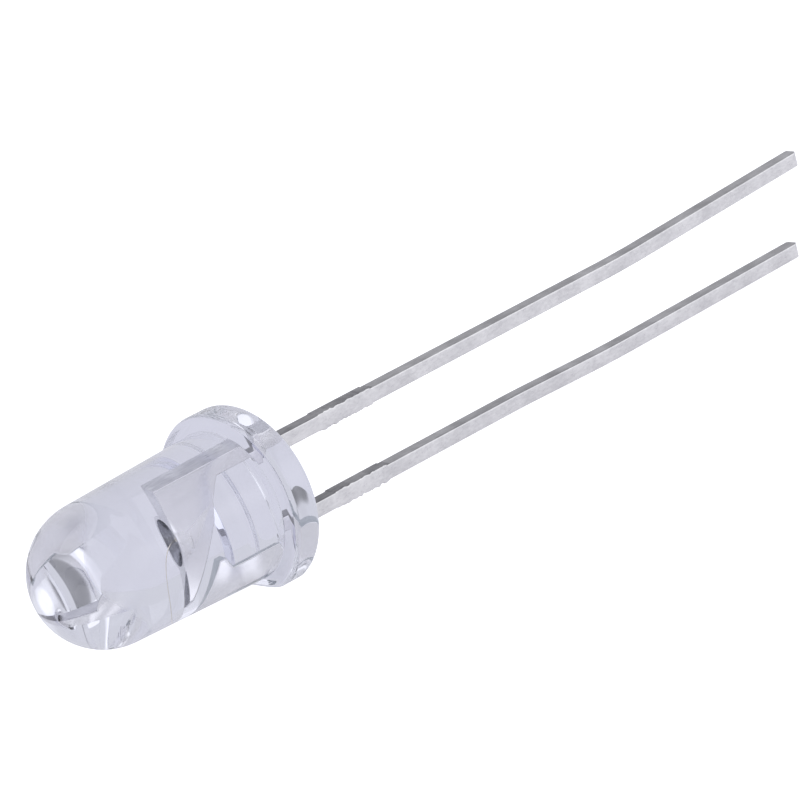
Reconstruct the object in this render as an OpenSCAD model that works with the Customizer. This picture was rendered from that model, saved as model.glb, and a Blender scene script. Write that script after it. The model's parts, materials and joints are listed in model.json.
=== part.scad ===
// Round 5 mm through-hole LED: a clear cast epoxy lens round a stamped leadframe.
//
// Every piece is drawn upright, in the lamp's own frame: +Z runs up the lens axis
// to the dome, the underside of the flange is at Z = 0, and the anode is on +X.
// laid_down() then puts the lamp as it comes to rest on a table: on the flat of
// its flange and the tip of the cathode lead, with the dome towards -X.

/* [Lens] */
// Diameter of the lens body where it leaves the flange
body_d = 4.9; // [4.6:0.05:5.1]
// Height of the lens, from the underside of the flange to the tip of the dome
lens_h = 8.6; // [7.6:0.1:10]
// Mould draft on the side of the body, in degrees
draft_angle = 1.8; // [0:0.1:3]
// Diameter of the flange
flange_d = 5.9; // [5.6:0.05:6.3]
// Thickness of the flange
flange_t = 1.1; // [0.8:0.05:1.6]
// Distance from the lens axis to the flat that marks the cathode
flat_offset = 2.6; // [2.5:0.02:2.7]
// Radius in the corner between the flange and the body
root_r = 0.1; // [0.05:0.01:0.15]

/* [Leads] */
// Distance between the middles of the two leads
lead_pitch = 2.54; // [2.3:0.02:2.7]
// Width of each lead
lead_w = 0.5; // [0.4:0.02:0.6]
// Thickness of the sheet that the leadframe is stamped from
sheet_t = 0.5; // [0.4:0.02:0.6]
// Length of the anode lead below the flange
anode_len = 25.8; // [22:0.2:30]
// Length of the cathode lead below the flange
cathode_len = 25; // [21:0.5:29]
// Length of the bevel at the cut tip of each lead
tip_bevel = 0.15; // [0.05:0.01:0.3]
// Depth of the bevel at the cut tip of each lead
tip_bevel_depth = 0.09; // [0.02:0.01:0.15]
// How far the leadframe sits off the lens axis, towards -Y
frame_offset = 0.2; // [0:0.02:0.3]
// How far the leadframe sits off the lens axis, towards the cathode
frame_shift = 0.07; // [0:0.01:0.1]

/* [Tie-bar stubs] */
// Distance from the flange to the sheared stub of the tie bar
stub_start = 2.9; // [2:0.1:4]
// Length of the sheared stub
stub_len = 2.3; // [1.5:0.1:4]
// How far the stub stands proud on each side of the lead
stub_proud = 0.03; // [0.02:0.01:0.1]

/* [Bends] */
// Radius that the bent leads follow
bend_r = 60; // [20:5:100]
// Distance from the flange to the bend in the anode lead
anode_bend_at = 15.4; // [8:0.2:18]
// Angle by which the anode lead leans outwards there
anode_bend = 2.6; // [0.5:0.1:4]
// Distance from the flange to the first bend in the cathode lead
cathode_bend_at = 10.6; // [7:0.2:12]
// Angle by which the cathode lead leans outwards there
cathode_bend = 1.3; // [0.5:0.1:2]
// Straight length between the two bends in the cathode lead
cathode_bow_len = 2.4; // [1:0.2:4]
// Angle by which the cathode lead comes back inwards
cathode_return = 2.1; // [0.5:0.1:3]

/* [Anvil] */
// Height of the anvil's flat top above the underside of the flange
anvil_top = 4.26; // [4.1:0.02:4.6]
// Height at which the anvil's web leaves the anode lead
web_start = 1.9; // [1.5:0.05:2.2]
// Height of the lowest corner of the anvil's slanted edge
web_corner = 2.65; // [2.45:0.05:2.8]
// Distance of the lowest corner of the slanted edge from the lens axis, on the anode side
web_x = 0.1; // [0:0.02:0.2]
// Distance that the anvil's top reaches past the lens axis, towards the cathode
anvil_reach = 1.15; // [0.9:0.05:1.2]
// Height of the short upright edge at the end of the anvil's top
anvil_brow = 0.18; // [0.1:0.02:0.3]

/* [Reflector cup] */
// Diameter of the cup's mouth
cup_d = 0.92; // [0.8:0.02:1]
// Diameter of the cup's floor
cup_floor_d = 0.56; // [0.5:0.02:0.7]
// Depth of the cup
cup_depth = 0.36; // [0.3:0.02:0.5]
// Thickness of the coined wall round the cup's mouth
cup_wall = 0.08; // [0.06:0.01:0.15]
// How far the cup sits behind the middle of the sheet, close to the lens axis
cup_back = 0.14; // [0:0.01:0.18]
// Height of the boss that the cup is coined into, down to its coned foot
boss_h = 0.55; // [0.5:0.05:0.7]
// How far the side of the boss draws in over that height
boss_draw = 0.1; // [0.05:0.01:0.15]

/* [Post] */
// Height of the post's top, where the bond wire lands
post_top = 3.9; // [3.7:0.05:4.1]
// Width of the landing on the post's top
post_land = 0.28; // [0.2:0.02:0.4]
// How far the post's head stands out past the lead's outer side
post_flare = 0.24; // [0.15:0.01:0.3]
// How far the post's shank stands in past the lead's inner side
shank_in = 0.14; // [0.05:0.01:0.2]
// Height above the underside of the flange at which the shank steps in
shank_start = 0.45; // [0.3:0.05:0.8]
// How far the hook below the slanted edge stands in past the shank
hook_in = 0.24; // [0.1:0.02:0.3]
// Height of the upright edge of the hook
hook_h = 0.25; // [0.15:0.05:0.4]
// Height at which the post's head reaches its full width
flare_z = 2.75; // [2.5:0.05:3]
// Gap between the slanted edges of the anvil and the post
slant_gap = 0.4; // [0.3:0.02:0.5]

/* [Chip and wire] */
// Side of the square light-emitting chip
die_w = 0.3; // [0.2:0.01:0.35]
// Thickness of the chip
die_t = 0.12; // [0.08:0.01:0.2]
// Diameter of the pad of silver epoxy under the chip
bond_pad_d = 0.5; // [0.48:0.01:0.5]
// Thickness of the silver epoxy
bond_pad_t = 0.03; // [0.01:0.005:0.05]
// Diameter of the bond wire
wire_d = 0.025; // [0.02:0.005:0.05]
// Diameter of the ball that ends the wire on the chip
ball_d = 0.09; // [0.08:0.01:0.12]
// Height of the ball
ball_h = 0.03; // [0.02:0.005:0.05]
// Diameter of the stitch that ends the wire on the post
stitch_d = 0.12; // [0.1:0.01:0.15]
// Thickness of the stitch
stitch_t = 0.015; // [0.01:0.005:0.03]

/* [Hidden] */
$fn = 96;
spare = 1;  // how far cutting shapes run past what they cut

// lens: the dome is a sphere that meets the drafted side of the body smoothly
base_r = body_d / 2 + flange_t * tan(draft_angle);
dome_r = (base_r * cos(draft_angle) - lens_h * sin(draft_angle)) / (1 - sin(draft_angle));
dome_z = lens_h - dome_r;
shoulder_r = dome_r * cos(draft_angle);
shoulder_z = dome_z + dome_r * sin(draft_angle);
flange_r = flange_d / 2;

// leads: each follows its own middle line down from the flange, as steps of
// [length, turn outwards], with +X pointing away from the other lead
lead_x = lead_pitch / 2;
outer_x = lead_x + lead_w / 2;
inner_x = lead_x - lead_w / 2;
bend_steps = 6;
anode_steps = concat(
    [[anode_bend_at, 0]],
    bend_of(anode_bend),
    [[anode_len - anode_bend_at - arc_len(anode_bend), 0]]
);
cathode_steps = concat(
    [[cathode_bend_at, 0]],
    bend_of(cathode_bend),
    [[cathode_bow_len, 0]],
    bend_of(-cathode_return),
    [[cathode_len - cathode_bend_at - cathode_bow_len - arc_len(cathode_bend) - arc_len(cathode_return), 0]]
);
anode_path = walk(anode_steps, [lead_x, 0, 0]);
cathode_path = walk(cathode_steps, [lead_x, 0, 0]);
anode_tip = anode_path[len(anode_path) - 1];
cathode_tip = cathode_path[len(cathode_path) - 1];

// anvil and post: both slanted edges climb at the same angle, slant_gap apart
slant = atan2(anvil_top - anvil_brow - web_corner, anvil_reach + web_x);
shank_x = inner_x - shank_in;
post_outer_x = outer_x + post_flare;
post_land_x = post_outer_x - post_land;
hook_x = shank_x - hook_in;
hook_z = post_slant_z(hook_x);
boss_r = cup_d / 2 + cup_wall;
boss_foot_r = boss_r - boss_draw;

// chip and wire: stacked up from the floor of the cup
cup_floor_z = anvil_top - cup_depth;
die_z = cup_floor_z + bond_pad_t;
ball_z = die_z + die_t;
wire_z = ball_z + ball_h;
stitch_x = -(post_land_x + post_outer_x) / 2;
loop_r = -stitch_x / 2;

// rest: the lamp tips back about the flange's lower edge until the cathode's tip touches down
touch = beside(cathode_tip, lead_w / 2);
rest_tilt = atan2(flat_offset - touch[0] - frame_shift, -touch[1]);
rest_h = flat_offset * cos(rest_tilt);
dome_end = dome_z * cos(rest_tilt) + dome_r;
anode_end = (anode_tip[0] - frame_shift) * sin(rest_tilt) - anode_tip[1] * cos(rest_tilt);
rest_mid = (anode_end - dome_end) / 2;

function arc_len(angle) = bend_r * abs(angle) * PI / 180;

// The steps that make one bend on a radius of bend_r
function bend_of(angle) =
    [for (i = [1 : bend_steps]) [arc_len(angle) / bend_steps, angle / bend_steps]];

// Points down a lead's middle line, each as [x, z, lean]
function walk(steps, start, i = 0) =
    i == len(steps) ? [start] :
    let (
        lean = start[2],
        next_x = start[0] + steps[i][0] * sin(lean),
        next_z = start[1] - steps[i][0] * cos(lean)
    )
    concat([start], walk(steps, [next_x, next_z, lean + steps[i][1]], i + 1));

// One side of a lead, from the flange down to the tip, with the sheared stub of the tie bar
// that held the leads in one strip. The side is 1 for outwards and -1 for inwards.
function lead_side(path, side) =
    let (
        face = side * lead_w / 2,
        proud = side * stub_proud,
        top = -stub_start,
        bottom = -stub_start - stub_len
    )
    concat(
        [
            [lead_x + face, top],
            [lead_x + face + proud, top - stub_proud],
            [lead_x + face + proud, bottom + stub_proud],
            [lead_x + face, bottom]
        ],
        [for (i = [1 : len(path) - 1]) beside(path[i], face)]
    );

// A point beside the middle line, at a distance across the lead
function beside(point, out) =
    [point[0] + out * cos(point[2]), point[1] + out * sin(point[2])];

function reversed(list) = [for (i = [len(list) - 1 : -1 : 0]) list[i]];

// Height of the post's slanted edge at a distance x from the lens axis
function post_slant_z(x) = web_corner + (x + web_x) * tan(slant) - slant_gap / cos(slant);

// Lays the upright lamp down and centres it over the origin
module laid_down() {
    translate([-rest_mid, 0, rest_h])
        rotate([0, rest_tilt - 90, 0])
            children();
}

// Moves a piece of the leadframe to its place beside the lens axis
module on_frame() {
    translate([-frame_shift, -frame_offset, 0])
        children();
}

// A flat piece of the leadframe, from an outline in X and Z
module stamped() {
    rotate([90, 0, 0])
        linear_extrude(sheet_t, center = true)
            children();
}

// The corners that the cutter rolls over, front and back, at a lead's tip
module tip_cuts(tip) {
    face_y = sheet_t / 2;
    translate([tip[0], 0, tip[1]])
        rotate([0, -tip[2], 0])
            for (side = [0, 1])
                mirror([0, side, 0])
                    rotate([90, 0, 90])
                        linear_extrude(2 * lead_w, center = true)
                            polygon([
                                [face_y + tip_bevel_depth, 2 * tip_bevel],
                                [face_y - 2 * tip_bevel_depth, -tip_bevel],
                                [face_y + tip_bevel_depth, -tip_bevel]
                            ]);
}

// Half section of the lens, with the axis at X = 0
module lens_section() {
    polygon([[0, 0], [base_r, 0], [shoulder_r, shoulder_z], [0, shoulder_z]]);
    intersection() {
        translate([0, dome_z])
            circle(dome_r);
        translate([0, shoulder_z])
            square([dome_r, dome_r]);
    }
    square([flange_r, flange_t]);
    difference() {
        translate([0, flange_t])
            square([body_d / 2 + root_r, root_r]);
        translate([body_d / 2 + root_r, flange_t + root_r])
            circle(root_r);
    }
}

module lens_blank() {
    difference() {
        rotate_extrude()
            lens_section();
        translate([-flat_offset - spare, -flange_r, -spare])
            cube([spare, flange_d, flange_t + 2 * spare]);
    }
}

// Outline of the anvil, the web that joins it to the anode lead, and the lead
module anode_outline() {
    polygon(concat(
        [
            [inner_x, web_start],
            [inner_x - lead_w, web_corner - sheet_t / 2],
            [web_x, web_corner],
            [-anvil_reach, anvil_top - anvil_brow],
            [-anvil_reach, anvil_top],
            [outer_x, anvil_top]
        ],
        lead_side(anode_path, 1),
        reversed(lead_side(anode_path, -1))
    ));
}

// Outline of the cathode lead and its post, with shank, hook, slanted edge and landing
module cathode_outline() {
    polygon(concat(
        [
            [inner_x, shank_start - shank_in],
            [shank_x, shank_start],
            [shank_x, hook_z - hook_h - hook_in],
            [hook_x, hook_z - hook_h],
            [hook_x, hook_z],
            [post_land_x, post_slant_z(post_land_x)],
            [post_land_x, post_top],
            [post_outer_x, post_top],
            [post_outer_x, flare_z],
            [outer_x, flare_z - post_flare]
        ],
        lead_side(cathode_path, 1),
        reversed(lead_side(cathode_path, -1))
    ));
}

// Moves what belongs to the cup back from the middle of the sheet
module on_cup_axis() {
    translate([0, cup_back, 0])
        children();
}

// The round swelling that the cup is coined into, on a coned foot
module boss() {
    translate([0, 0, anvil_top - boss_h])
        cylinder(h = boss_h, r1 = boss_foot_r, r2 = boss_r);
    translate([0, 0, anvil_top - boss_h - boss_foot_r])
        cylinder(h = boss_foot_r, r1 = 0, r2 = boss_foot_r);
}

module anode_shape() {
    on_frame()
        difference() {
            union() {
                stamped()
                    anode_outline();
                on_cup_axis()
                    boss();
            }
            on_cup_axis()
                translate([0, 0, cup_floor_z])
                    cylinder(h = cup_depth, d1 = cup_floor_d, d2 = cup_d);
            tip_cuts(anode_tip);
        }
}

module cathode_shape() {
    on_frame()
        mirror([1, 0, 0])
            difference() {
                stamped()
                    cathode_outline();
                tip_cuts(cathode_tip);
            }
}

module die_bond_shape() {
    on_frame()
        on_cup_axis()
            translate([0, 0, cup_floor_z])
                cylinder(h = bond_pad_t, d = bond_pad_d);
}

module die_shape() {
    on_frame()
        on_cup_axis()
            translate([-die_w / 2, -die_w / 2, die_z])
                cube([die_w, die_w, die_t]);
}

// Ball on the chip, a round loop over to the post, and a stitch on the post's top
module wire_shape() {
    on_frame()
        on_cup_axis() {
            translate([0, 0, ball_z])
                cylinder(h = ball_h, d = ball_d);
            translate([-loop_r, 0, wire_z])
                rotate([90, 0, 0])
                    rotate_extrude(angle = 180)
                        translate([loop_r, 0])
                            circle(d = wire_d);
            translate([stitch_x, 0, post_top])
                cylinder(h = wire_z - post_top, d = wire_d);
            translate([stitch_x, 0, post_top])
                cylinder(h = stitch_t, d = stitch_d);
        }
}

module epoxy_lens() {
    color([0.86, 0.87, 0.95, 0.45])
        laid_down()
            difference() {
                lens_blank();
                anode_shape();
                cathode_shape();
                die_bond_shape();
                die_shape();
                wire_shape();
            }
}

module anode_lead() {
    color([0.74, 0.74, 0.75])
        laid_down()
            anode_shape();
}

module cathode_lead() {
    color([0.74, 0.74, 0.75])
        laid_down()
            cathode_shape();
}

module led_die() {
    color([0.35, 0.37, 0.42])
        laid_down()
            die_shape();
}

module die_bond() {
    color([0.66, 0.66, 0.64])
        laid_down()
            die_bond_shape();
}

module bond_wire() {
    color([0.85, 0.68, 0.3])
        laid_down()
            wire_shape();
}

epoxy_lens();
anode_lead();
cathode_lead();
led_die();
die_bond();
bond_wire();
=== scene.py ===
import json
import math

import bmesh
import bpy
from mathutils import Matrix, Vector, noise


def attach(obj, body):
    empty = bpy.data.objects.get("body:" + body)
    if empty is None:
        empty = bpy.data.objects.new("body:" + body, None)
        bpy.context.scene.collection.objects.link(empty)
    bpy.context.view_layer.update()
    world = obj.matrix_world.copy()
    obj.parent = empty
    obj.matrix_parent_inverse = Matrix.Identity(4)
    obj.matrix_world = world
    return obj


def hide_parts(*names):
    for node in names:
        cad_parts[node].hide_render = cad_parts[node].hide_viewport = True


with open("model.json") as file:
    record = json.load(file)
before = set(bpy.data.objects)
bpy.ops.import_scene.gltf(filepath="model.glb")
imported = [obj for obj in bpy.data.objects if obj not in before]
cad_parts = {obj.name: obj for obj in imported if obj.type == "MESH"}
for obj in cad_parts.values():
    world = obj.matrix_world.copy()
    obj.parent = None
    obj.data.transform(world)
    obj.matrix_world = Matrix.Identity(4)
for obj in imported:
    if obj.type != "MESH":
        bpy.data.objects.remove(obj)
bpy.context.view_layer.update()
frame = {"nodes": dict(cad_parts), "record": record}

MM = 0.001

# ---------------------------------------------------------------- sizes, in millimetres

# The cast lens: a dome on a slightly drafted body, standing on a flange with one flat
LENS_HEIGHT = 8.6
BODY_DIAMETER = 4.9
BODY_DRAFT = 1.8  # degrees
FLANGE_DIAMETER = 5.9
FLANGE_THICKNESS = 1.1
FLAT_DISTANCE = 2.6  # from the lens's axis
RIM_RADIUS = 0.22
ROOT_RADIUS = 0.02  # in the corner where the body stands on the flange
FLAT_BLEND = 0.3  # how gently the flat turns into the round of the rim
DISH_DEPTH = 0.24  # how far the poured underside sinks as it cures

# How finely each stretch of the lens's outline is drawn, and its turn round the axis
DISH_STEPS = 30
RIM_STEPS = 16
STRAIGHT_STEPS = 10  # the wall of the flange, and the shelf round the body
ROOT_STEPS = 12
SIDE_STEPS = 40
DOME_STEPS = 72
COLUMNS_ROUND = 288
LENS_WELD = 0.0005  # points closer than this are one point, as at the two ends of the axis
LENS_CREASE = 35  # degrees: a sharper corner is shaded as an edge

# The resin that climbs each lead where it leaves the lens, as it stood in the mould
ANODE_CREEP = 0.35
CATHODE_CREEP = 0.95
CREEP_THICKNESS = 0.08
CREEP_TAPER = 0.6  # below 1, so the film keeps its thickness and ends in a blunt lip
CREEP_SLANT = 0.22  # how much lower the film ends on its -X side, as a share of its length
CREEP_TUCK = 0.004  # how far the end of the film lies under the skin of the metal
CREEP_FOOT = 0.28  # how far the foot spreads inside the lens
CREEP_FOOT_TOP = 0.2  # below this the foot narrows
CREEP_FOOT_FALL = 0.09  # the height in which the foot narrows to about a third
CREEP_FOOT_RINGS = (0.45, 0.3, CREEP_FOOT_TOP, 0.16, 0.13, 0.1, 0.07, 0.04, 0.0, -0.06)
CREEP_FILM_RINGS = 12
CREEP_CORNER_STEPS = 8

# The leadframe, stamped from one sheet
LEAD_SHIFT = 0.07  # off the lens axis, towards the cathode
SHEET_MIDDLE_Y = -0.2
SHEET_THICKNESS = 0.5
LEAD_MIDDLE = 1.27
LEAD_WIDTH = 0.5
LEAD_EDGE_RADIUS = 0.06
PLATE_EDGE_RADIUS = 0.045
FINE_EDGE_RADIUS = 0.018
SHORT_EDGE = 0.06  # an edge shorter than this has no room for a rounder one
BELOW_THE_BENDS = -20  # an edge across the lead that lies lower belongs to its cut end
METAL_WELD = 0.0001  # corners closer than this are one corner
METAL_CORNER = 28  # degrees: a sharper corner of the stamping is eased
METAL_CREASE = 40  # degrees: a corner that is still sharper than this is shaded as an edge
TORN_FROM, TORN_TO = 2.75, 5.35  # below the lens, where the strip's tie bar was cut away
TORN_EASE = 0.4  # the length in which the tearing sets in and dies away
TORN_LENGTH = 0.16  # of one tear
TORN_STEP = 0.07
TORN_REACH = (0.05, 0.03)  # across the width of the lead, and through the sheet
# The cup's painted shade: where the cup lies round the crystal, and how far its dark finish reaches
CUP_MIDDLE_Y = -0.06
CUP_REACH = 0.46
CUP_FLOOR_DEPTH = 0.03  # how far below the foot of the crystal the cup's floor may lie
CUP_HEIGHT = 0.5  # above the top of the crystal
TIP_FROM = 0.8  # past the lens axis, where the tip of the anvil is painted darker
TIP_SLANT = Vector((1, 0.9, 0)).normalized()  # across the line where that darker tip ends

# The studio: angles in degrees, where azimuth 0 looks along +Y
CAMERA_AZIMUTH = -41.163
CAMERA_ELEVATION = 19.405
CAMERA_ROLL = -14.552
CAMERA_DISTANCE = 181.8
CAMERA_TARGET = (-4.459, -2.926, 4.121)
CAMERA_LENS = 270
CAMERA_SENSOR = 36
FLOOR_RADIUS = 900
FLOOR_GLOW = 0.51  # lights the lamp from below
FLOOR_LIFT = 0.7  # what the camera itself sees on top of that glow
ROOM_COLOUR = "#FAFBFF"
ROOM_LIGHT = 0.72
# where each patch of the room lies (azimuth, elevation), its inner and outer radius in degrees,
# and how much it adds to the light of the room
ROOM_PATCHES = [
    ((48, 14), 6, 18, 0.5),
    ((26, 12), 5, 20, 0.3),
    ((70, 12), 4, 18, 0.2),
    ((-68, 13), 2, 13, -0.45),
    ((-116, 1), 3, 9, -0.5),
]


# ---------------------------------------------------------------- small helpers


def linear(hex_colour):
    """The linear colour of an sRGB hex value."""
    channels = [int(hex_colour[i:i + 2], 16) / 255 for i in (1, 3, 5)]
    return tuple(
        c / 12.92 if c <= 0.04045 else ((c + 0.055) / 1.055) ** 2.4 for c in channels
    ) + (1.0,)


def add(tree, kind, inputs=None, **settings):
    """Adds a node. Each input is a value, the output socket that feeds it, or the node whose first
    output feeds it."""
    made = tree.nodes.new(kind)
    for name, value in settings.items():
        setattr(made, name, value)
    for key, value in (inputs or {}).items():
        if isinstance(value, bpy.types.Node):
            value = value.outputs[0]
        if isinstance(value, bpy.types.NodeSocket):
            tree.links.new(value, made.inputs[key])
        else:
            made.inputs[key].default_value = value
    return made


def lamp_placement():
    """Where the upright lamp lies: its origin under the flange, +Z up the lens, +X to the anode."""
    seat = next(m for m in frame["record"]["mounts"] if m["name"] == "board_seat")
    up_lens = -Vector(seat["axis"]).normalized()
    across = Vector((0, 1, 0))
    to_anode = across.cross(up_lens).normalized()
    place = Matrix((to_anode, across, up_lens)).transposed().to_4x4()
    place.translation = Vector(seat["pos_m"])
    return place


LAMP = lamp_placement()


def box_in_lamp(node):
    """A node's lowest and highest corners in the upright lamp's own frame, in millimetres."""
    spots = [LAMP.inverted() @ v.co / MM for v in frame["nodes"][node].data.vertices]
    return (Vector(map(min, zip(*spots))), Vector(map(max, zip(*spots))))


DIE_BOX = box_in_lamp("led_die")
ANVIL_TOP = box_in_lamp("anode_lead")[1].z


def new_piece(name, mesh):
    """An object for one finished mesh, at the origin, riding on the part's one body."""
    piece = bpy.data.objects.new(name, mesh)
    bpy.context.scene.collection.objects.link(piece)
    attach(piece, "root")
    return piece


def finished_by(mesh, name, kind, **settings):
    """Runs one modifier on a mesh and returns the plain mesh that it makes."""
    bench = bpy.data.objects.new(name + "_bench", mesh)
    bpy.context.scene.collection.objects.link(bench)
    modifier = bench.modifiers.new(name, kind)
    for key, value in settings.items():
        setattr(modifier, key, value)
    shown = bench.evaluated_get(bpy.context.evaluated_depsgraph_get())
    made = bpy.data.meshes.new_from_object(shown)
    bpy.data.objects.remove(bench)
    made.name = name
    return made


def turn_faces_outwards(mesh):
    """Turns every face of a closed mesh outwards."""
    work = bmesh.new()
    work.from_mesh(mesh)
    bmesh.ops.recalc_face_normals(work, faces=work.faces)
    work.to_mesh(mesh)
    work.free()


# ---------------------------------------------------------------- materials


def principled(name):
    """A new material, with its node tree and its Principled shader."""
    material = bpy.data.materials.new(name)
    material.use_nodes = True
    tree = material.node_tree
    return material, tree, tree.nodes["Principled BSDF"]


def clear_cast_epoxy():
    """Optical epoxy cast in a polished steel mould: water-clear with a faint cool tint, a gloss
    that the mould gives it, and the very slight ripple of resin that shrank as it cured."""
    material, tree, shader = principled("clear_cast_epoxy")
    place = add(tree, "ShaderNodeTexCoord")
    flow = add(tree, "ShaderNodeTexNoise",
               {"Vector": place.outputs["Object"], "Scale": 1 / (2.5 * MM), "Detail": 2.0})
    tint = add(tree, "ShaderNodeValToRGB", {"Fac": flow.outputs["Fac"]})
    tint.color_ramp.elements[0].color = linear("#F1F2FE")
    tint.color_ramp.elements[1].color = linear("#F4F5FF")
    gloss = add(tree, "ShaderNodeMapRange",
                {"Value": flow.outputs["Fac"], "To Min": 0.0, "To Max": 0.01})
    ripple = add(tree, "ShaderNodeTexNoise",
                 {"Vector": place.outputs["Object"], "Scale": 1 / (0.9 * MM), "Detail": 1.0})
    bump = add(tree, "ShaderNodeBump",
               {"Height": ripple.outputs["Fac"], "Strength": 0.12, "Distance": 0.002 * MM})
    tree.links.new(tint.outputs["Color"], shader.inputs["Base Color"])
    tree.links.new(gloss.outputs["Result"], shader.inputs["Roughness"])
    tree.links.new(bump.outputs["Normal"], shader.inputs["Normal"])
    shader.inputs["IOR"].default_value = 1.51
    shader.inputs["Transmission Weight"].default_value = 1.0
    return material


def plated_steel(name, bright, dull, roughness, grain, relief):
    """Cold-rolled steel strip under electroplated silver or tin. The rolls or the die draw out a
    grain along the leads (its length and width in mm), which the thin plating keeps, and the bath
    leaves soft clouds. The grain is drawn coarser than the real one, or it wouldn't show."""
    material, tree, shader = principled(name)
    place = add(tree, "ShaderNodeTexCoord")
    grain_length, grain_width = grain
    stretched = add(tree, "ShaderNodeMapping", {
        "Vector": place.outputs["Object"],
        "Scale": (1 / (grain_length * MM), 1 / (grain_width * MM), 1 / (grain_width * MM)),
    })
    drawn = add(tree, "ShaderNodeTexNoise",
                {"Vector": stretched, "Scale": 1.0, "Detail": 5.0, "Roughness": 0.6})
    cloud = add(tree, "ShaderNodeTexNoise",
                {"Vector": place.outputs["Object"], "Scale": 1 / (0.8 * MM), "Detail": 3.0})
    # the mean of the two stays near a half, so the ramp lies close round it
    both = add(tree, "ShaderNodeMath",
               {0: drawn.outputs["Fac"], 1: cloud.outputs["Fac"]}, operation="ADD")
    middling = add(tree, "ShaderNodeMath", {0: both, 1: 0.5}, operation="MULTIPLY")
    colour = add(tree, "ShaderNodeValToRGB", {"Fac": middling})
    colour.color_ramp.elements[0].position = 0.38
    colour.color_ramp.elements[0].color = linear(dull)
    colour.color_ramp.elements[1].position = 0.62
    colour.color_ramp.elements[1].color = linear(bright)
    rough = add(tree, "ShaderNodeMapRange", {
        "Value": drawn.outputs["Fac"], "From Min": 0.3, "From Max": 0.7,
        "To Min": roughness[0], "To Max": roughness[1],
    })
    bump = add(tree, "ShaderNodeBump",
               {"Height": drawn.outputs["Fac"], "Strength": relief, "Distance": 0.004 * MM})
    tree.links.new(colour.outputs["Color"], shader.inputs["Base Color"])
    tree.links.new(rough.outputs["Result"], shader.inputs["Roughness"])
    tree.links.new(bump.outputs["Normal"], shader.inputs["Normal"])
    shader.inputs["Metallic"].default_value = 1.0
    return material


def silver_filled_epoxy():
    """Die-attach paste: silver flakes in resin, cured to a dull pale grey."""
    material, tree, shader = principled("silver_filled_epoxy")
    place = add(tree, "ShaderNodeTexCoord")
    flakes = add(tree, "ShaderNodeTexVoronoi",
                 {"Vector": place.outputs["Object"], "Scale": 1 / (0.012 * MM)})
    colour = add(tree, "ShaderNodeValToRGB", {"Fac": flakes.outputs["Distance"]})
    colour.color_ramp.elements[0].color = linear("#C9C8C4")
    colour.color_ramp.elements[1].color = linear("#8F8E8A")
    bump = add(tree, "ShaderNodeBump",
               {"Height": flakes.outputs["Distance"], "Strength": 0.4, "Distance": 0.003 * MM})
    matt = add(tree, "ShaderNodeMapRange",
               {"Value": flakes.outputs["Distance"], "To Min": 0.42, "To Max": 0.58})
    tree.links.new(colour.outputs["Color"], shader.inputs["Base Color"])
    tree.links.new(matt.outputs["Result"], shader.inputs["Roughness"])
    tree.links.new(bump.outputs["Normal"], shader.inputs["Normal"])
    shader.inputs["Metallic"].default_value = 0.7
    return material


def diode_crystal():
    """Sawn gallium nitride on sapphire: a hard, glossy, smoky grey chip with pale saw marks."""
    material, tree, shader = principled("diode_crystal")
    place = add(tree, "ShaderNodeTexCoord")
    saw = add(tree, "ShaderNodeTexWave",
              {"Vector": place.outputs["Object"], "Scale": 1 / (0.05 * MM), "Distortion": 1.5})
    colour = add(tree, "ShaderNodeValToRGB", {"Fac": saw.outputs["Fac"]})
    colour.color_ramp.elements[0].color = linear("#8F939D")
    colour.color_ramp.elements[1].color = linear("#C2C5CC")
    gloss = add(tree, "ShaderNodeMapRange",
                {"Value": saw.outputs["Fac"], "To Min": 0.1, "To Max": 0.22})
    bump = add(tree, "ShaderNodeBump",
               {"Height": saw.outputs["Fac"], "Strength": 0.2, "Distance": 0.002 * MM})
    tree.links.new(colour.outputs["Color"], shader.inputs["Base Color"])
    tree.links.new(gloss.outputs["Result"], shader.inputs["Roughness"])
    tree.links.new(bump.outputs["Normal"], shader.inputs["Normal"])
    shader.inputs["IOR"].default_value = 1.77
    return material


def drawn_gold():
    """Gold drawn to a hair for bonding: bright and very pale, with faint lines from the die."""
    material, tree, shader = principled("drawn_gold")
    place = add(tree, "ShaderNodeTexCoord")
    lines = add(tree, "ShaderNodeTexNoise",
                {"Vector": place.outputs["Object"], "Scale": 1 / (0.02 * MM), "Detail": 2.0})
    colour = add(tree, "ShaderNodeValToRGB", {"Fac": lines.outputs["Fac"]})
    colour.color_ramp.elements[0].color = linear("#F0E9D8")
    colour.color_ramp.elements[1].color = linear("#FAF5EA")
    gloss = add(tree, "ShaderNodeMapRange",
                {"Value": lines.outputs["Fac"], "To Min": 0.14, "To Max": 0.26})
    bump = add(tree, "ShaderNodeBump",
               {"Height": lines.outputs["Fac"], "Strength": 0.1, "Distance": 0.001 * MM})
    tree.links.new(colour.outputs["Color"], shader.inputs["Base Color"])
    tree.links.new(gloss.outputs["Result"], shader.inputs["Roughness"])
    tree.links.new(bump.outputs["Normal"], shader.inputs["Normal"])
    shader.inputs["Metallic"].default_value = 1.0
    return material


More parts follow.
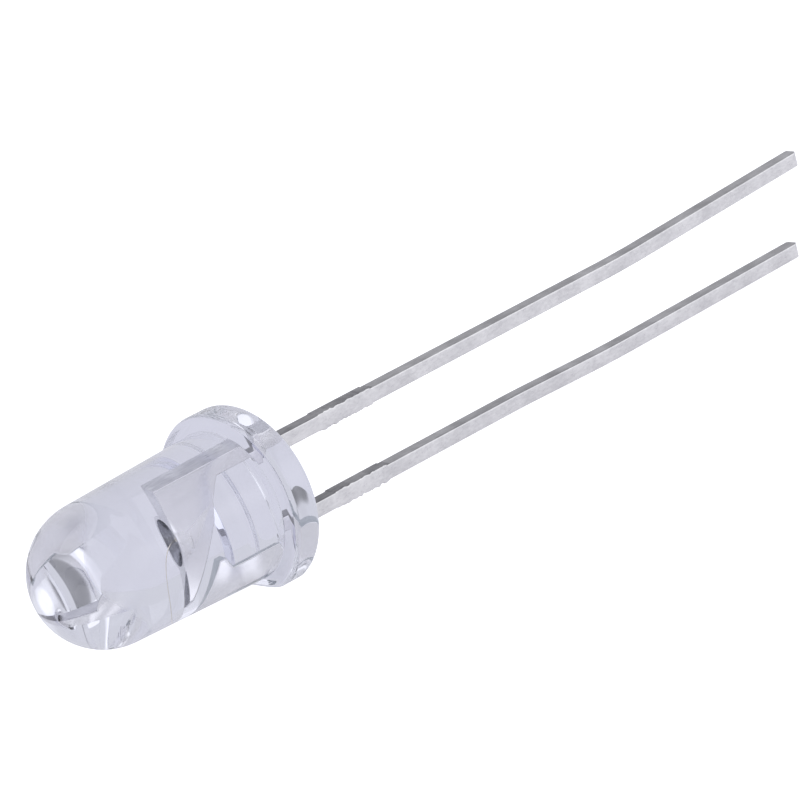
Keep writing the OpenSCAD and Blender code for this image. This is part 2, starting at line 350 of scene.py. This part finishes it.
def lit_opal_acrylic():
    """Opal acrylic of a light table, lit softly from below, so that what lies on it throws hardly
    any shadow. Where the camera sees it directly, it is lit a little past white."""
    material, tree, shader = principled("lit_opal_acrylic")
    place = add(tree, "ShaderNodeTexCoord")
    tooth = add(tree, "ShaderNodeTexNoise",
                {"Vector": place.outputs["Object"], "Scale": 1 / (0.5 * MM), "Detail": 2.0})
    colour = add(tree, "ShaderNodeValToRGB", {"Fac": tooth.outputs["Fac"]})
    colour.color_ramp.elements[0].color = linear("#949498")
    colour.color_ramp.elements[1].color = linear("#98989C")
    rays = add(tree, "ShaderNodeLightPath")
    glow = add(tree, "ShaderNodeMath", {
        0: rays.outputs["Is Camera Ray"], 1: FLOOR_LIFT, 2: FLOOR_GLOW,
    }, operation="MULTIPLY_ADD")
    tree.links.new(colour.outputs["Color"], shader.inputs["Base Color"])
    tree.links.new(glow.outputs["Value"], shader.inputs["Emission Strength"])
    shader.inputs["Emission Color"].default_value = linear("#FAFAFF")
    shader.inputs["Roughness"].default_value = 0.9
    shader.inputs["Specular IOR Level"].default_value = 0.0
    return material


# ---------------------------------------------------------------- the cast lens


def arc(centre_r, centre_z, radius, start, end, steps):
    """Points round an arc in the (r, z) half plane, with angles in degrees from the r axis."""
    turns = [math.radians(start + (end - start) * i / steps) for i in range(steps + 1)]
    return [(centre_r + radius * math.cos(t), centre_z + radius * math.sin(t)) for t in turns]


def line(start, end, steps):
    """Points along a straight line, without its two ends. They crowd together towards the ends, so
    that the round next to it doesn't shade the straight."""
    shares = [(1 - math.cos(math.pi * i / steps)) / 2 for i in range(1, steps)]
    return [tuple(a + (b - a) * share for a, b in zip(start, end)) for share in shares]


def lens_half_section():
    """The lens's outline from the middle of its underside, round the rim and up to the dome's tip."""
    draft = math.radians(BODY_DRAFT)
    base_r = BODY_DIAMETER / 2 + FLANGE_THICKNESS * math.tan(draft)
    dome_r = (base_r * math.cos(draft) - LENS_HEIGHT * math.sin(draft)) / (1 - math.sin(draft))
    dome_z = LENS_HEIGHT - dome_r
    shoulder = (dome_r * math.cos(draft), dome_z + dome_r * math.sin(draft))
    flange_r = FLANGE_DIAMETER / 2
    in_r, low_z, top_z = flange_r - RIM_RADIUS, RIM_RADIUS, FLANGE_THICKNESS - RIM_RADIUS
    root_r, root_z = BODY_DIAMETER / 2 + ROOT_RADIUS, FLANGE_THICKNESS + ROOT_RADIUS
    under = [(r, DISH_DEPTH * (1 - (r / in_r) ** 2) ** 2)
             for r in (in_r * math.sin(math.pi * i / (2 * DISH_STEPS)) for i in range(DISH_STEPS))]
    rim = arc(in_r, low_z, RIM_RADIUS, -90, 0, RIM_STEPS)
    rim += line((flange_r, low_z), (flange_r, top_z), STRAIGHT_STEPS)
    rim += arc(in_r, top_z, RIM_RADIUS, 0, 90, RIM_STEPS)
    shelf = line((in_r, FLANGE_THICKNESS), (root_r, FLANGE_THICKNESS), STRAIGHT_STEPS)
    root = arc(root_r, root_z, ROOT_RADIUS, 270, 180 + BODY_DRAFT, ROOT_STEPS)
    side = line(root[-1], shoulder, SIDE_STEPS)
    dome = arc(0, dome_z, dome_r, BODY_DRAFT, 90, DOME_STEPS)
    dome[-1] = (0.0, LENS_HEIGHT)
    return under + rim + shelf + root + side + dome


def turned_casting_tree():
    """Turns an outline round the lamp's axis, then draws one side in to a flat."""
    tree = bpy.data.node_groups.new("turned_casting", "GeometryNodeTree")
    face = tree.interface
    face.new_socket("Geometry", in_out="INPUT", socket_type="NodeSocketGeometry")
    face.new_socket("Columns", in_out="INPUT", socket_type="NodeSocketInt")
    for name in ("Rim", "Rim Radius", "Flat Distance", "Flat Blend", "Weld"):
        face.new_socket(name, in_out="INPUT", socket_type="NodeSocketFloat")
    face.new_socket("Finish", in_out="INPUT", socket_type="NodeSocketMaterial")
    face.new_socket("Geometry", in_out="OUTPUT", socket_type="NodeSocketGeometry")
    given = add(tree, "NodeGroupInput").outputs

    # a sheet with a row for each point of the outline, and the first column once more at the end
    outline = given["Geometry"]
    count = add(tree, "GeometryNodeAttributeDomainSize", {"Geometry": outline}).outputs["Point Count"]
    columns = add(tree, "ShaderNodeMath", {0: given["Columns"], 1: 1.0}, operation="ADD")
    sheet = add(tree, "GeometryNodeMeshGrid", {"Vertices X": columns, "Vertices Y": count})

    # which column and row a point of the sheet is in, and the point of the outline for that row.
    # Half a point is added first, so that rounding never drops a column
    index = add(tree, "GeometryNodeInputIndex")
    inside = add(tree, "ShaderNodeMath", {0: index, 1: 0.5}, operation="ADD")
    share = add(tree, "ShaderNodeMath", {0: inside, 1: count}, operation="DIVIDE")
    column = add(tree, "ShaderNodeMath", {0: share}, operation="FLOOR")
    before = add(tree, "ShaderNodeMath", {0: column, 1: count}, operation="MULTIPLY")
    row = add(tree, "ShaderNodeMath", {0: index, 1: before}, operation="SUBTRACT")
    spot = add(tree, "GeometryNodeInputPosition")
    point = add(tree, "GeometryNodeSampleIndex", {
        "Geometry": outline, "Value": spot, "Index": row,
    }, data_type="FLOAT_VECTOR", domain="POINT")
    part = add(tree, "ShaderNodeSeparateXYZ", {"Vector": point}).outputs

    # the angle of the column, where half a turn faces the flat
    round_share = add(tree, "ShaderNodeMath", {0: column, 1: given["Columns"]}, operation="DIVIDE")
    turn = add(tree, "ShaderNodeMath", {0: round_share, 1: math.tau}, operation="MULTIPLY")
    cosine = add(tree, "ShaderNodeMath", {0: turn}, operation="COSINE")
    sine = add(tree, "ShaderNodeMath", {0: turn}, operation="SINE")

    # the flat: how far out it lets a point stand, with the rim's rounding carried along its edges.
    # A column that looks away from the flat is held to a far reach, so nothing is taken off it
    from_rim = add(tree, "ShaderNodeMath", {0: given["Rim"], 1: part["X"]}, operation="SUBTRACT")
    inwards = add(tree, "ShaderNodeMath", {0: from_rim, 1: given["Rim Radius"]}, operation="MINIMUM")
    flat = add(tree, "ShaderNodeMath",
               {0: given["Flat Distance"], 1: inwards}, operation="SUBTRACT")
    facing = add(tree, "ShaderNodeMath", {0: cosine, 1: -1.0}, operation="MULTIPLY")
    to_flat = add(tree, "ShaderNodeMath", {0: facing, 1: 0.01}, operation="MAXIMUM")
    reach = add(tree, "ShaderNodeMath", {0: flat, 1: to_flat}, operation="DIVIDE")
    out = add(tree, "ShaderNodeMath",
              {0: part["X"], 1: reach, 2: given["Flat Blend"]}, operation="SMOOTH_MIN")

    x = add(tree, "ShaderNodeMath", {0: out, 1: cosine}, operation="MULTIPLY")
    y = add(tree, "ShaderNodeMath", {0: out, 1: sine}, operation="MULTIPLY")
    place = add(tree, "ShaderNodeCombineXYZ", {"X": x, "Y": y, "Z": part["Z"]})
    bent = add(tree, "GeometryNodeSetPosition", {"Geometry": sheet, "Position": place})
    closed = add(tree, "GeometryNodeMergeByDistance",
                 {"Geometry": bent, "Distance": given["Weld"]})
    smooth = add(tree, "GeometryNodeSetShadeSmooth", {"Geometry": closed})
    real = add(tree, "GeometryNodeRealizeInstances", {"Geometry": smooth})
    finished = add(tree, "GeometryNodeSetMaterial",
                   {"Geometry": real, "Material": given["Finish"]})
    add(tree, "NodeGroupOutput", {"Geometry": finished})
    return tree


def made_by_nodes(name, points, edges, tree, inputs):
    """Runs a Geometry Nodes tree on a wire of points and returns the plain mesh it makes."""
    wire = bpy.data.meshes.new(name + "_wire")
    wire.from_pydata(points, edges, [])
    maker = bpy.data.objects.new(name + "_maker", wire)
    bpy.context.scene.collection.objects.link(maker)
    modifier = maker.modifiers.new(name, "NODES")
    modifier.node_group = tree
    sockets = {i.name: i.identifier for i in tree.interface.items_tree if i.in_out == "INPUT"}
    for key, value in inputs.items():
        modifier[sockets[key]] = value
    shown = maker.evaluated_get(bpy.context.evaluated_depsgraph_get())
    mesh = bpy.data.meshes.new_from_object(shown)
    maker.modifiers.remove(modifier)
    bpy.data.objects.remove(maker)
    mesh.name = name
    return mesh


def resin_sleeve(middle_x, length):
    """The skin of resin that wetted one lead: a foot that flares into the lens, then a thin film
    that ends a little lower on one side than on the other."""
    corner, steps = LEAD_EDGE_RADIUS, CREEP_CORNER_STEPS
    to_corner = LEAD_WIDTH / 2 - corner
    outline = []
    for quarter, (sx, sy) in enumerate(((1, 1), (-1, 1), (-1, -1), (1, -1))):
        for i in range(steps):
            t = math.radians(90 * (quarter + (i + 0.5) / steps))
            outline.append((to_corner * sx, to_corner * sy, math.cos(t), math.sin(t)))
    film_top = CREEP_FOOT_RINGS[-1]
    heights = list(CREEP_FOOT_RINGS)
    heights += [film_top - (length + film_top) * i / CREEP_FILM_RINGS
                for i in range(1, CREEP_FILM_RINGS + 1)]
    work = bmesh.new()
    rings = []
    for z in heights:
        foot = CREEP_FOOT * math.exp(-max(CREEP_FOOT_TOP - z, 0) / CREEP_FOOT_FALL)
        film = CREEP_THICKNESS * (1 - max(-z, 0) / length) ** CREEP_TAPER
        reach = corner - CREEP_TUCK + foot + film
        ring = []
        for x, y, cos_t, sin_t in outline:
            lower = 1 + CREEP_SLANT * (sin_t * 0.6 - cos_t) if z < 0 else 1
            ring.append(work.verts.new(((middle_x + x + reach * cos_t) * MM,
                                        (SHEET_MIDDLE_Y + y + reach * sin_t) * MM, z * lower * MM)))
        rings.append(ring)
    for high, low in zip(rings, rings[1:]):
        for i in range(len(high)):
            j = (i + 1) % len(high)
            work.faces.new((high[i], high[j], low[j], low[i]))
    work.faces.new(rings[0])
    work.faces.new(rings[-1])
    bmesh.ops.recalc_face_normals(work, faces=work.faces)
    mesh = bpy.data.meshes.new("resin_sleeve")
    work.to_mesh(mesh)
    work.free()
    return mesh


def cast_lens(material):
    """The lens as one closed skin: the leadframe is cast inside it with no gap round it."""
    outline = [(r * MM, 0.0, z * MM) for r, z in lens_half_section()]
    edges = [(i, i + 1) for i in range(len(outline) - 1)]
    mesh = made_by_nodes("cast_lens", outline, edges, turned_casting_tree(), {
        "Columns": COLUMNS_ROUND,
        "Rim": FLANGE_DIAMETER / 2 * MM,
        "Rim Radius": RIM_RADIUS * MM,
        "Flat Distance": FLAT_DISTANCE * MM,
        "Flat Blend": FLAT_BLEND * MM,
        "Weld": LENS_WELD * MM,
        "Finish": material,
    })
    turn_faces_outwards(mesh)
    for side, length in ((1, ANODE_CREEP), (-1, CATHODE_CREEP)):
        sleeve = bpy.data.objects.new("creep", resin_sleeve(LEAD_MIDDLE * side - LEAD_SHIFT, length))
        bpy.context.scene.collection.objects.link(sleeve)
        mesh = finished_by(mesh, "cast_lens", "BOOLEAN", operation="UNION", solver="EXACT",
                           object=sleeve)
        bpy.data.objects.remove(sleeve)
    mesh.transform(LAMP)
    turn_faces_outwards(mesh)
    mesh.shade_smooth()
    mesh.materials.clear()
    mesh.materials.append(material)
    mesh.set_sharp_from_angle(angle=math.radians(LENS_CREASE))
    lens = new_piece("cast_lens", mesh)
    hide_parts("epoxy_lens")


# ---------------------------------------------------------------- the leadframe


# The finishes of a stamped piece, in the order of its material slots
INSIDE_FACE, INSIDE_CUT, OUTSIDE_FACE, OUTSIDE_CUT, PAINTED_DARK_CUP_AND_TIP, TORN = range(6)


def edge_radius(a, b):
    """How round the press and the plating leave the edge between two points of the leadframe."""
    along = (b - a).normalized()
    middle = (a + b) / 2 / MM
    off_the_face = abs(abs(middle.y - SHEET_MIDDLE_Y) - SHEET_THICKNESS / 2) > 0.01
    through_the_sheet = abs(along.y) > 0.2
    across_the_lead = abs(along.z) < 0.5
    along_the_lead = abs(along.z) > 0.9
    inside_the_lens = middle.z > 0.1
    if middle.z < BELOW_THE_BENDS and across_the_lead:
        return LEAD_EDGE_RADIUS
    if through_the_sheet or off_the_face or (b - a).length < SHORT_EDGE * MM:
        return FINE_EDGE_RADIUS
    if inside_the_lens:
        return PLATE_EDGE_RADIUS
    return LEAD_EDGE_RADIUS if along_the_lead else FINE_EDGE_RADIUS


def eased_stamping(node, name):
    """The CAD solid of a stamped piece in the upright lamp's frame, with its sharp edges rounded.
    Inner corners stay sharp, except where they run straight through the sheet."""
    work = bmesh.new()
    work.from_mesh(frame["nodes"][node].data)
    bmesh.ops.transform(work, matrix=LAMP.inverted(), verts=work.verts)
    bmesh.ops.remove_doubles(work, verts=work.verts, dist=METAL_WELD * MM)
    bmesh.ops.dissolve_limit(work, angle_limit=math.radians(0.5), verts=work.verts, edges=work.edges)
    weight = work.edges.layers.float.new("bevel_weight_edge")
    for edge in work.edges:
        a, b = (v.co for v in edge.verts)
        through_the_sheet = abs((b - a).normalized().y) > 0.9
        if edge.calc_face_angle(0) > math.radians(METAL_CORNER) and (edge.is_convex or through_the_sheet):
            edge[weight] = edge_radius(a, b) / LEAD_EDGE_RADIUS
    pressed = bpy.data.meshes.new(name + "_pressed")
    work.to_mesh(pressed)
    work.free()
    return finished_by(pressed, name, "BEVEL", width=LEAD_EDGE_RADIUS * MM, segments=4,
                       limit_method="WEIGHT", offset_type="OFFSET", use_clamp_overlap=False)


def score(work, spot, normal):
    """Cuts the faces along a plane, so that a finish can end there, or a tear."""
    bmesh.ops.bisect_plane(work, geom=work.verts[:] + work.edges[:] + work.faces[:],
                           plane_co=spot, plane_no=normal)


def torn_by_the_cut(work):
    """Wavers the edges of a lead where the tie bar between the lamps of a strip was torn off: long
    tears with finer ones on them, different on each edge."""
    z = TORN_FROM
    while z < TORN_TO:
        score(work, (0, 0, -z * MM), (0, 0, 1))
        z += TORN_STEP
    for vert in work.verts:
        x, y, z = vert.co / MM
        if y > SHEET_MIDDLE_Y or not -TORN_TO < z < -TORN_FROM:
            continue
        ease = min((z + TORN_TO) / TORN_EASE, (-TORN_FROM - z) / TORN_EASE, 1)
        side = 1 if abs(x + LEAD_SHIFT) > LEAD_MIDDLE else -1
        for axis, size in enumerate(TORN_REACH):
            spot = Vector((1.3 * axis, 5.1 * side + 9 * math.copysign(1, x), z / TORN_LENGTH))
            tear = noise.noise(spot) + 0.5 * noise.noise(spot * 2.7)
            vert.co[axis] += tear * ease * size * MM


def in_painted_dark_cup_or_tip(middle, normal):
    """Whether a face is painted dark: a face of the cup that holds the crystal, as painted shade, or of
    the anvil's tip, which is simply painted darker.
    """
    past_tip_line = (middle - Vector((-TIP_FROM, SHEET_MIDDLE_Y, 0))).dot(TIP_SLANT) < 0
    if past_tip_line and middle.z > ANVIL_TOP - FINE_EDGE_RADIUS:
        return True
    low, high = DIE_BOX
    away = Vector((middle.x - (low.x + high.x) / 2, middle.y - CUP_MIDDLE_Y, 0))
    in_height = low.z - CUP_FLOOR_DEPTH <= middle.z <= high.z + CUP_HEIGHT
    if away.length > CUP_REACH or not in_height:
        return False
    is_floor = normal.z > 0.7
    is_wall = away.length > 0 and normal.dot(away.normalized()) < -0.3
    return is_floor or is_wall


def finish_of(face):
    """Which finish one face of a stamped piece takes, from where it lies and which way it looks."""
    middle = face.calc_center_median() / MM
    # a cut side takes a finish painted darker than the face, partly as painted shade
    is_cut = abs(face.normal.y) <= 0.6
    if -TORN_TO < middle.z < 0 and is_cut:
        return TORN
    if middle.z < 0:
        return OUTSIDE_CUT if is_cut else OUTSIDE_FACE
    # the cup is painted dark as painted shade, and the anvil's tip is simply painted darker
    if in_painted_dark_cup_or_tip(middle, face.normal):
        return PAINTED_DARK_CUP_AND_TIP
    return INSIDE_CUT if is_cut else INSIDE_FACE


def pressed_piece(node, name, *finishes):
    """A stamped piece of the leadframe, with its edges eased and its finishes in place: silver
    inside the lens, tin below it, and roughest close under it, where the tie bar was torn off. Its
    cut sides are painted darker, partly as painted shade, the cup is painted dark as painted shade,
    and the anvil's tip is painted darker."""
    eased = eased_stamping(node, name)
    for finish in finishes:
        eased.materials.append(finish)
    work = bmesh.new()
    work.from_mesh(eased)
    bmesh.ops.remove_doubles(work, verts=work.verts, dist=METAL_WELD * MM)
    score(work, (0, 0, 0), (0, 0, 1))
    score(work, (-TIP_FROM * MM, SHEET_MIDDLE_Y * MM, 0), TIP_SLANT)
    torn_by_the_cut(work)
    bmesh.ops.triangulate(work, faces=[f for f in work.faces if len(f.verts) > 4])
    for face in work.faces:
        # the faces of the sheet and its straight cuts stay flat, and only what is round is shaded round
        face.smooth = 0.001 < abs(face.normal.y) < 0.999
        face.material_index = finish_of(face)
    bmesh.ops.transform(work, matrix=LAMP, verts=work.verts)
    bmesh.ops.recalc_face_normals(work, faces=work.faces)
    work.to_mesh(eased)
    work.free()
    eased.set_sharp_from_angle(angle=math.radians(METAL_CREASE))
    piece = new_piece(name, eased)
    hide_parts(node)


# ---------------------------------------------------------------- the studio


def studio_floor():
    """A wide light table under the lamp."""
    work = bmesh.new()
    bmesh.ops.create_circle(work, cap_ends=True, segments=96, radius=FLOOR_RADIUS * MM)
    mesh = bpy.data.meshes.new("studio_floor")
    work.to_mesh(mesh)
    work.free()
    floor = bpy.data.objects.new("studio_floor", mesh)
    mesh.materials.append(lit_opal_acrylic())
    bpy.context.scene.collection.objects.link(floor)


def direction(azimuth, elevation):
    """The direction from the lamp towards a place in the studio, from two angles in degrees."""
    a, e = math.radians(azimuth), math.radians(elevation)
    return Vector((math.sin(a) * math.cos(e), -math.cos(a) * math.cos(e), math.sin(e)))


def studio_world():
    """An even pale room, a little brighter round its window and dark in its two open doorways."""
    world = bpy.data.worlds.new("pale_room")
    bpy.context.scene.world = world
    world.use_nodes = True
    tree = world.node_tree
    paint = tree.nodes["Background"]
    look = add(tree, "ShaderNodeTexCoord").outputs["Generated"]
    light = ROOM_LIGHT
    for towards, inner, outer, change in ROOM_PATCHES:
        near = add(tree, "ShaderNodeVectorMath",
                   {0: look, 1: direction(*towards)}, operation="DOT_PRODUCT").outputs["Value"]
        patch = add(tree, "ShaderNodeMapRange", {
            "Value": near,
            "From Min": math.cos(math.radians(outer)), "From Max": math.cos(math.radians(inner)),
        }, interpolation_type="SMOOTHSTEP").outputs["Result"]
        light = add(tree, "ShaderNodeMath", {0: patch, 1: change, 2: light},
                    operation="MULTIPLY_ADD").outputs["Value"]
    tree.links.new(light, paint.inputs["Strength"])
    paint.inputs["Color"].default_value = linear(ROOM_COLOUR)


def soft_light(name, azimuth, elevation, distance, size, power):
    """A square softbox that faces the lamp from a direction in degrees, sizes in millimetres."""
    light = bpy.data.lights.new(name, "AREA")
    light.shape = "SQUARE"
    light.size = size * MM
    light.energy = power
    holder = bpy.data.objects.new(name, light)
    bpy.context.scene.collection.objects.link(holder)
    away = direction(azimuth, elevation)
    holder.location = away * distance * MM
    holder.rotation_euler = away.to_track_quat("Z", "Y").to_euler()


def studio_camera():
    """A long lens, turned and rolled to look down the lamp from its dome end."""
    scene = bpy.context.scene
    data = bpy.data.cameras.new("studio_camera")
    data.lens, data.sensor_width = CAMERA_LENS, CAMERA_SENSOR
    data.clip_start, data.clip_end = 0.01, 10
    camera = bpy.data.objects.new("studio_camera", data)
    scene.collection.objects.link(camera)
    back = direction(CAMERA_AZIMUTH, CAMERA_ELEVATION)
    level = Vector((0, 0, 1)).cross(back).normalized()
    turned = Matrix((level, back.cross(level), back)).transposed().to_4x4()
    roll = Matrix.Rotation(math.radians(CAMERA_ROLL), 4, "Z")
    spot = Matrix.Translation(Vector(CAMERA_TARGET) * MM + back * CAMERA_DISTANCE * MM)
    camera.matrix_world = spot @ turned @ roll
    scene.camera = camera


def render_choices():
    """Plain colours, and enough bounces for clear resin. Light runs round inside the flange by total
    reflection, each time a glossy bounce, and fewer bounces would leave dark threads in its rim."""
    scene = bpy.context.scene
    scene.view_settings.view_transform = "Standard"
    scene.view_settings.look = "None"
    cycles = scene.cycles
    cycles.max_bounces = 64
    cycles.transmission_bounces = 24
    cycles.glossy_bounces = 56
    cycles.diffuse_bounces = 4
    cycles.use_denoising = True


# ---------------------------------------------------------------- make it all

cast_lens(clear_cast_epoxy())

# silver on the rolled face of the sheet, kept bright by the resin: nearly white, hardly any grain
silver_face = plated_steel("bright_silver_plate", bright="#FEFDFC", dull="#F8F7F6",
                           roughness=(0.17, 0.24), grain=(0.5, 0.08), relief=0.02)
# the same silver on the side that the die sheared: fine grey streaks, painted darker than the face,
# partly for its rougher shear and partly as painted shade
silver_cut_with_painted_shade = plated_steel("silver_plate_on_sheared_side_with_painted_shade", bright="#FDFDFE", dull="#D4D4D8",
                          roughness=(0.26, 0.38), grain=(0.4, 0.04), relief=0.12)
# silver on the cathode's sheared side: a cool grey, painted darker still, partly for its rougher shear
# and partly as painted shade
darker_silver_cut_with_painted_shade = plated_steel("darker_silver_on_sheared_side_with_painted_shade", bright="#DADFE2", dull="#A9B0B4",
                               roughness=(0.28, 0.4), grain=(0.4, 0.04), relief=0.12)
# silver in the cup and on the anvil's tip, painted dark and with no direction: in the cup it is painted
# shade, and on the tip it is simply darker
silver_painted_dark_in_cup_and_tip = plated_steel("silver_plate_painted_dark_in_cup_and_tip", bright="#A6A7AF", dull="#74757E",
                         roughness=(0.12, 0.3), grain=(0.05, 0.05), relief=0.1)
# matt tin on the rolled face: pale grey with soft clouds
tin_face = plated_steel("matt_tin_on_rolled_face", bright="#FBFAFB", dull="#E3E2E4",
                        roughness=(0.26, 0.4), grain=(0.16, 0.07), relief=0.25)
# matt tin on the sheared side: darker, with fine streaks; the darkness is partly its rougher shear and
# partly painted shade
tin_cut_with_painted_shade = plated_steel("matt_tin_on_sheared_side_with_painted_shade", bright="#C4C3C6", dull="#9A999C",
                       roughness=(0.3, 0.45), grain=(0.4, 0.03), relief=0.25)
# matt tin on the cut sides from the lens down past the torn tie bar: the darkest and the roughest, partly
# its torn surface and partly painted shade
tin_torn_with_painted_shade = plated_steel("matt_tin_on_torn_side_with_painted_shade", bright="#AAA9AC", dull="#76757A",
                        roughness=(0.32, 0.5), grain=(0.3, 0.05), relief=0.4)
pressed_piece("anode_lead", "anode_frame",
              silver_face, silver_cut_with_painted_shade, tin_face, tin_cut_with_painted_shade, silver_painted_dark_in_cup_and_tip, tin_torn_with_painted_shade)
pressed_piece("cathode_lead", "cathode_frame",
              silver_face, darker_silver_cut_with_painted_shade, tin_face, tin_cut_with_painted_shade, silver_painted_dark_in_cup_and_tip, tin_torn_with_painted_shade)

for node, finish in (
    ("led_die", diode_crystal()),
    ("die_bond", silver_filled_epoxy()),
    ("bond_wire", drawn_gold()),
):
    body = frame["nodes"][node].data
    body.materials.clear()
    body.materials.append(finish)

studio_floor()
studio_world()
soft_light("overhead_softbox", azimuth=-100, elevation=68, distance=500, size=400, power=0.2)
studio_camera()
render_choices()
